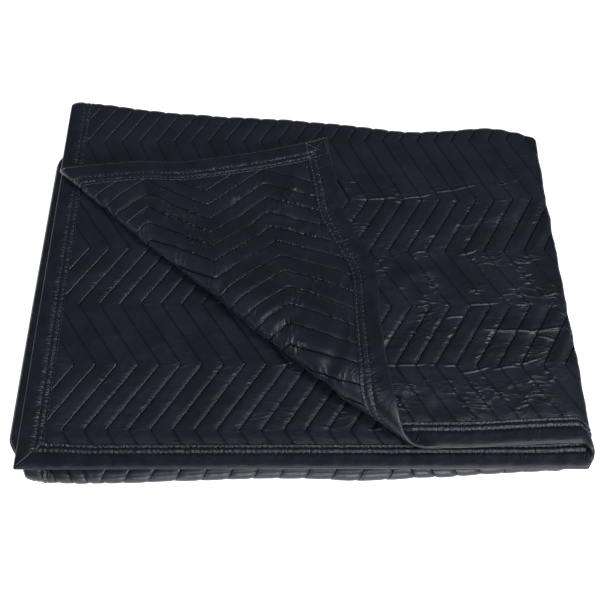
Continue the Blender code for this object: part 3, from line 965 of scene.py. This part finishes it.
def quilted_fabric():
    """Navy quilted cloth: seams drawn in, cross-wrinkles, weave, worn sheen and painted seam shade."""
    settings = blanket_settings()
    finish = Finish("quilted_fabric")
    u, v = finish.flat_map("metres")
    seam, row = finish.flat_map("seams")
    share = (seam + 0.5).math("FRACT") - 0.5
    off = share.math("ABSOLUTE")
    channel = seam.math("FLOOR")
    # the seam: a narrow notch, its thread, and the holes that draw it in
    notch = finish.ramp(off, 0.0, 0.075, -0.0015, 0.0)
    flap = finish.ramp(u, 0.45, 0.65, 1.0, 0.0) * finish.ramp(v, 0.50, 0.60, 1.0, 0.0)
    band = ((row * 0.5 + 0.25).math("FRACT") - 0.5).math("ABSOLUTE")
    lower = finish.ramp(u, 0.905, 0.925)
    strength = finish.ramp(band, 0.22, 0.28, 0.6, 1.0) * (1.0 - lower)
    strength = strength + finish.ramp(band, 0.22, 0.28, 1.0, 0.6) * lower
    strength = strength.math("MAXIMUM", flap * 1.6)
    notch = notch * strength
    thread = finish.ramp(off, 0.008, 0.020, 1.0, 0.0)
    pulse = (row * (0.112 * math.pi / 0.0030)).math("SINE").math("ABSOLUTE")
    thread_rise = thread * pulse * 0.00012
    # wrinkles drawn across each channel by its seams
    flat = finish.vector(u, v, 0.0)
    sway = finish.noise(flat, 22.0, 1.0) * 0.020
    lane = finish.vector(seam * 0.8, (v + sway) * 62.0, channel * 3.7)
    streak = ridge(finish.noise(lane, 1.0, 1.0, 0.5), 9.0)
    fine_lane = finish.vector(seam * 1.7, (v + sway) * 150.0, channel * 5.3)
    fine_streak = ridge(finish.noise(fine_lane, 1.0, 1.0, 0.5), 8.0)
    patch = finish.ramp(finish.noise(flat, 17.0, 2.0), 0.46, 0.64)
    right = finish.ramp(u, 0.93, 1.0, 1.15, 0.50)
    calm = finish.ramp(v, 0.46, 0.56, 1.0, 0.15)
    near_seam = finish.ramp(off, 0.05, 0.45, 1.0, 0.4)
    loose = finish.ramp(band, 0.20, 0.28, 1.0, 0.55)
    from_u, from_v = u - 0.675, v - 0.050
    reach = (from_u * from_u + from_v * from_v).math("SQRT")
    calm = calm * finish.ramp(reach, 0.025, 0.065)
    drawn = patch * right * calm * loose * (0.85 + 0.9 * flap) + 0.08
    wrinkle = (streak * 0.0015 + fine_streak * 0.0005) * drawn * near_seam
    # short ridges where the zigzags turn, and the listed sharp creases
    bent = row + finish.noise(finish.vector(u * 16.0, v * 3.0, 0.0), 1.0, 1.0) * 0.24 - 0.12
    row_off = ((bent + 0.5).math("FRACT") - 0.5).math("ABSOLUTE")
    row_patch = finish.ramp(finish.noise(finish.vector(u * 26.0, row * 2.0, 4.0), 1.0, 1.0), 0.54, 0.64)
    pressed = finish.ramp(row_off, 0.0, 0.034, 0.0011, 0.0) * row_patch * right * calm
    bend = sway * 0.5 - 0.005
    for u0, v0, u1, v1, half, rise in SHARP_CREASES:
        length = math.hypot(u1 - u0, v1 - v0)
        way_u, way_v = (u1 - u0) / length, (v1 - v0) / length
        run = u * way_u + v * way_v - (u0 * way_u + v0 * way_v)
        aside = (u * way_v - v * way_u - (u0 * way_v - v0 * way_u) + bend).math("ABSOLUTE")
        ends = finish.ramp(run, -0.004, 0.016)
        ends = ends * finish.ramp(run, length - 0.016, length + 0.004, 1.0, 0.0)
        pressed = pressed + finish.ramp(aside, 0.0, half, rise, 0.0) * ends
    # small dimples and the weave
    soft = finish.noise(flat, 60.0, 3.0, 0.6) * 0.0007
    weave_u = (u * (2.0 * math.pi / 0.0016)).math("SINE")
    weave_v = (v * (2.0 * math.pi / 0.0016)).math("SINE")
    weave = weave_u * weave_v * 0.00003
    height = notch + thread_rise + wrinkle + pressed + soft + weave
    # colour: worn a little paler in random patches, and painted shade darker in the seams
    cloud = finish.noise(flat, 14.0, 3.0, 0.6)
    base = tuple(settings.cloth_colour) + (1.0,)
    # deep: the painted shade colour laid into the seams
    deep = tuple(0.55 * value for value in settings.cloth_colour) + (1.0,)
    worn = tuple(1.55 * value for value in settings.cloth_colour) + (1.0,)
    colour = finish.mix_colour(finish.ramp(cloud, 0.35, 0.65), base, worn)
    # painted shade: the cloth is darkened towards deep along each seam's groove
    painted_seam_shade = finish.ramp(off, 0.02, 0.10, 0.7, 0.0) * strength.math("MINIMUM", 1.0)
    colour = finish.mix_colour(painted_seam_shade, colour, deep)
    speck = finish.noise(flat, 900.0, 1.0, 0.5)
    roughness = 0.30 + cloud * 0.10 + speck * 0.05
    constants = {"Specular IOR Level": 0.4, "Sheen Weight": 0.05, "Sheen Roughness": 0.45,
                 "Sheen Tint": (0.62, 0.66, 1.0, 1.0)}
    # painted shade: a dark strip mixed in along one side of each seam, the side the key light leaves in
    # shade
    leaning = share * (1.0 - lower * 2.0)
    shade = finish.ramp(leaning, -0.015, 0.010) * finish.ramp(leaning, 0.045, 0.085, 0.70, 0.0)
    shade = shade * (strength * strength).math("MINIMUM", 1.0)
    return finish.surface(colour, roughness, height, constants, shade)


def binding_tape():
    """Navy satin tape: fine ribs, small puckers at its stitches."""
    settings = blanket_settings()
    finish = Finish("binding_tape")
    run, depth = finish.flat_map("metres")
    flat = finish.vector(run, depth, 0.0)
    pucker = ridge(finish.noise(finish.vector(run * 150.0, depth * 45.0, 0.0), 1.0, 2.0, 0.5), 6.0)
    near_rows = finish.ramp(depth, 0.012, 0.024, 0.15, 1.0)
    rib = (depth * (2.0 * math.pi / 0.0013)).math("SINE") * (run * (2.0 * math.pi / 0.0013)).math("SINE")
    soft = finish.noise(flat, 90.0, 3.0, 0.6) * 0.0006
    height = pucker * near_rows * 0.0006 + rib * 0.00003 + soft
    cloud = finish.noise(flat, 25.0, 2.0, 0.6)
    base = tuple(settings.tape_colour) + (1.0,)
    worn = tuple(1.5 * value for value in settings.tape_colour) + (1.0,)
    colour = finish.mix_colour(finish.ramp(cloud, 0.35, 0.65), base, worn)
    roughness = 0.30 + cloud * 0.12
    constants = {"Specular IOR Level": 0.4, "Sheen Weight": 0.05, "Sheen Roughness": 0.4,
                 "Sheen Tint": (0.62, 0.66, 1.0, 1.0)}
    return finish.surface(colour, roughness, height, constants)


def stitch_thread():
    """Twisted navy polyester thread."""
    finish = Finish("stitch_thread")
    run, aside = finish.flat_map("metres")
    twist = ((run + aside) * (2.0 * math.pi / 0.0011)).math("SINE")
    colour = finish.mix_colour(finish.ramp(twist, -1.0, 1.0), (0.040, 0.046, 0.075, 1.0),
                               (0.085, 0.094, 0.140, 1.0))
    roughness = 0.34 + twist * 0.05
    constants = {"Specular IOR Level": 0.6, "Sheen Weight": 0.2, "Sheen Roughness": 0.4}
    return finish.surface(colour, roughness, twist * 0.0001, constants)


def floor_finish():
    """Plain white studio floor with the faintest tooth."""
    finish = Finish("studio_floor")
    place = finish.node("ShaderNodeTexCoord", None, None, output=3)
    tooth = finish.noise(place, 40.0, 2.0, 0.5)
    colour = finish.mix_colour(tooth, (0.93, 0.93, 0.93, 1.0), (0.96, 0.96, 0.96, 1.0))
    glow = {"Specular IOR Level": 0.2, "Emission Color": (1.0, 1.0, 1.0, 1.0), "Emission Strength": 0.75}
    return finish.surface(colour, 0.8 + tooth * 0.05, tooth * 0.0001, glow)


# Add-on -----------------------------------------------------------------------------


def blanket_settings():
    return bpy.context.scene.folded_blanket


class BLANKET_PG_settings(bpy.types.PropertyGroup):
    """Sizes and colours of the folded blanket."""
    tape_width: bpy.props.FloatProperty(
        name="Tape width", description="Width of the binding on each face",
        default=0.0422, min=0.02, max=0.08, unit="LENGTH")
    stitch_pitch: bpy.props.FloatProperty(
        name="Stitch pitch", description="Distance from one binding stitch to the next",
        default=0.0088, min=0.002, max=0.02, unit="LENGTH")
    cloth_colour: bpy.props.FloatVectorProperty(
        name="Cloth colour", description="Colour of the quilted cloth",
        default=(0.0052, 0.0066, 0.0115), size=3, min=0.0, max=1.0, subtype="COLOR")
    tape_colour: bpy.props.FloatVectorProperty(
        name="Tape colour", description="Colour of the edge binding",
        default=(0.0050, 0.0062, 0.0110), size=3, min=0.0, max=1.0, subtype="COLOR")


class BLANKET_PG_stage(bpy.types.PropertyGroup):
    """Sizes and strengths of the studio."""
    lens: bpy.props.FloatProperty(
        name="Lens", description="Focal length of the camera, in millimetres",
        default=49.8, min=10.0, max=200.0, unit="CAMERA")
    key_power: bpy.props.FloatProperty(
        name="Key light", description="Strength of the main light, from the right",
        default=1.95, min=0.0, max=20.0, subtype="FACTOR")
    sky: bpy.props.FloatProperty(
        name="Surround", description="Strength of the white surround",
        default=0.125, min=0.0, max=10.0, subtype="FACTOR")


class BLANKET_OT_cloth(bpy.types.Operator):
    """Make the quilted cloth, folded in two and in three, with its corner rolled back"""
    bl_idname = "blanket.cloth"
    bl_label = "Quilted cloth"

    def execute(self, context):
        points, faces, maps = cloth_mesh()
        cloth = mesh_object("quilted_cloth_sheet", points, faces, maps, quilted_fabric())
        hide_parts("quilted_cloth")
        return {"FINISHED"}


class BLANKET_OT_bindings(bpy.types.Operator):
    """Make the four lengths of binding tape, folded round the cloth's edges"""
    bl_idname = "blanket.bindings"
    bl_label = "Binding tapes"

    def execute(self, context):
        finish = binding_tape()
        for name in EDGES:
            points, faces, maps = tape_mesh(name)
            tape = mesh_object(name + "_tape", points, faces, maps, finish)
            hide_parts(name)
        return {"FINISHED"}


class BLANKET_OT_stitches(bpy.types.Operator):
    """Sew the bindings on with two rows of stitches, and the corner with a crossed square"""
    bl_idname = "blanket.stitches"
    bl_label = "Binding stitches"

    def execute(self, context):
        finish = stitch_thread()
        for name in EDGES:
            girth = 0.00036 if name.startswith("binding_left") else 0.00058
            points, faces, maps = stitches(*binding_stitches(name), girth)
            sewn = mesh_object(name + "_stitches", points, faces, maps, finish)
        points, faces, maps = stitches(*corner_stitches(), 0.00075)
        box = mesh_object("corner_stitches", points, faces, maps, finish)
        declare_sheet()
        return {"FINISHED"}


class BLANKET_OT_stage(bpy.types.Operator):
    """Set the white floor, the soft lights and the camera"""
    bl_idname = "blanket.stage"
    bl_label = "Studio stage"

    def execute(self, context):
        build_stage(context.scene.blanket_stage)
        return {"FINISHED"}


def declare_sheet():
    """Gather the cloth's tapes and stitches by name; nothing more is done with them."""
    names = [name + "_tape" for name in EDGES] + [name + "_stitches" for name in EDGES]
    pieces = [bpy.data.objects[name] for name in names + ["corner_stitches"]]


def build_stage(stage):
    """Floor, lights and camera."""
    bpy.ops.object.select_all(action="DESELECT")
    bpy.ops.mesh.primitive_plane_add(size=14.0, location=(0.0, 0.0, 0.0))
    floor = bpy.context.object
    floor.name = "studio_floor"
    floor.location.z = -0.0006
    floor.data.materials.append(floor_finish())
    world = bpy.data.worlds.new("white_surround")
    world.use_nodes = True
    world.node_tree.nodes["Background"].inputs[0].default_value = (0.96, 0.97, 1.0, 1.0)
    world.node_tree.nodes["Background"].inputs[1].default_value = stage.sky
    bpy.context.scene.world = world
    bpy.context.scene.view_settings.view_transform = "Standard"
    lights = (
        # name, strength, degrees above the floor, turn from the front to the right, spread
        ("key_light", stage.key_power, 50.0, 68.0, 16.0),
        ("front_light", 0.45 * stage.key_power, 66.0, 8.0, 20.0),
        ("low_light", 1.15 * stage.key_power, 17.0, 10.0, 20.0),
    )
    for name, strength, height, turn, spread in lights:
        data = bpy.data.lights.new(name, "SUN")
        data.energy = strength
        data.angle = math.radians(spread)
        data.color = (0.93, 0.94, 1.0)
        lamp = bpy.data.objects.new(name, data)
        lamp.rotation_euler = (math.radians(90.0 - height), 0.0, math.radians(turn))
        bpy.context.collection.objects.link(lamp)
    view = bpy.data.cameras.new("camera")
    view.lens = stage.lens
    view.sensor_width = 36.0
    camera = bpy.data.objects.new("camera", view)
    camera.location = (SHIFT[0], -0.75 + SHIFT[1], 1.3245)
    camera.rotation_euler = (math.radians(28.0), 0.0, 0.0)
    bpy.context.collection.objects.link(camera)
    bpy.context.scene.camera = camera


class BLANKET_PT_panel(bpy.types.Panel):
    """Sidebar panel with the blanket's pieces and settings"""
    bl_idname = "BLANKET_PT_panel"
    bl_label = "Folded blanket"
    bl_space_type = "VIEW_3D"
    bl_region_type = "UI"
    bl_category = "Blanket"

    def draw(self, context):
        for group in (context.scene.folded_blanket, context.scene.blanket_stage):
            for name in group.bl_rna.properties.keys():
                if name not in ("rna_type", "name"):
                    self.layout.prop(group, name)
        for operator in OPERATORS:
            self.layout.operator(operator.bl_idname)


OPERATORS = (BLANKET_OT_cloth, BLANKET_OT_bindings, BLANKET_OT_stitches, BLANKET_OT_stage)
CLASSES = (BLANKET_PG_settings, BLANKET_PG_stage) + OPERATORS + (BLANKET_PT_panel,)


def register():
    for item in CLASSES:
        bpy.utils.register_class(item)
    bpy.types.Scene.folded_blanket = bpy.props.PointerProperty(type=BLANKET_PG_settings)
    bpy.types.Scene.blanket_stage = bpy.props.PointerProperty(type=BLANKET_PG_stage)


def unregister():
    del bpy.types.Scene.blanket_stage
    del bpy.types.Scene.folded_blanket
    for item in reversed(CLASSES):
        bpy.utils.unregister_class(item)


def main():
    register()
    bpy.ops.blanket.cloth()
    bpy.ops.blanket.bindings()
    bpy.ops.blanket.stitches()
    bpy.ops.blanket.stage()


if __name__ == "__main__":
    main()
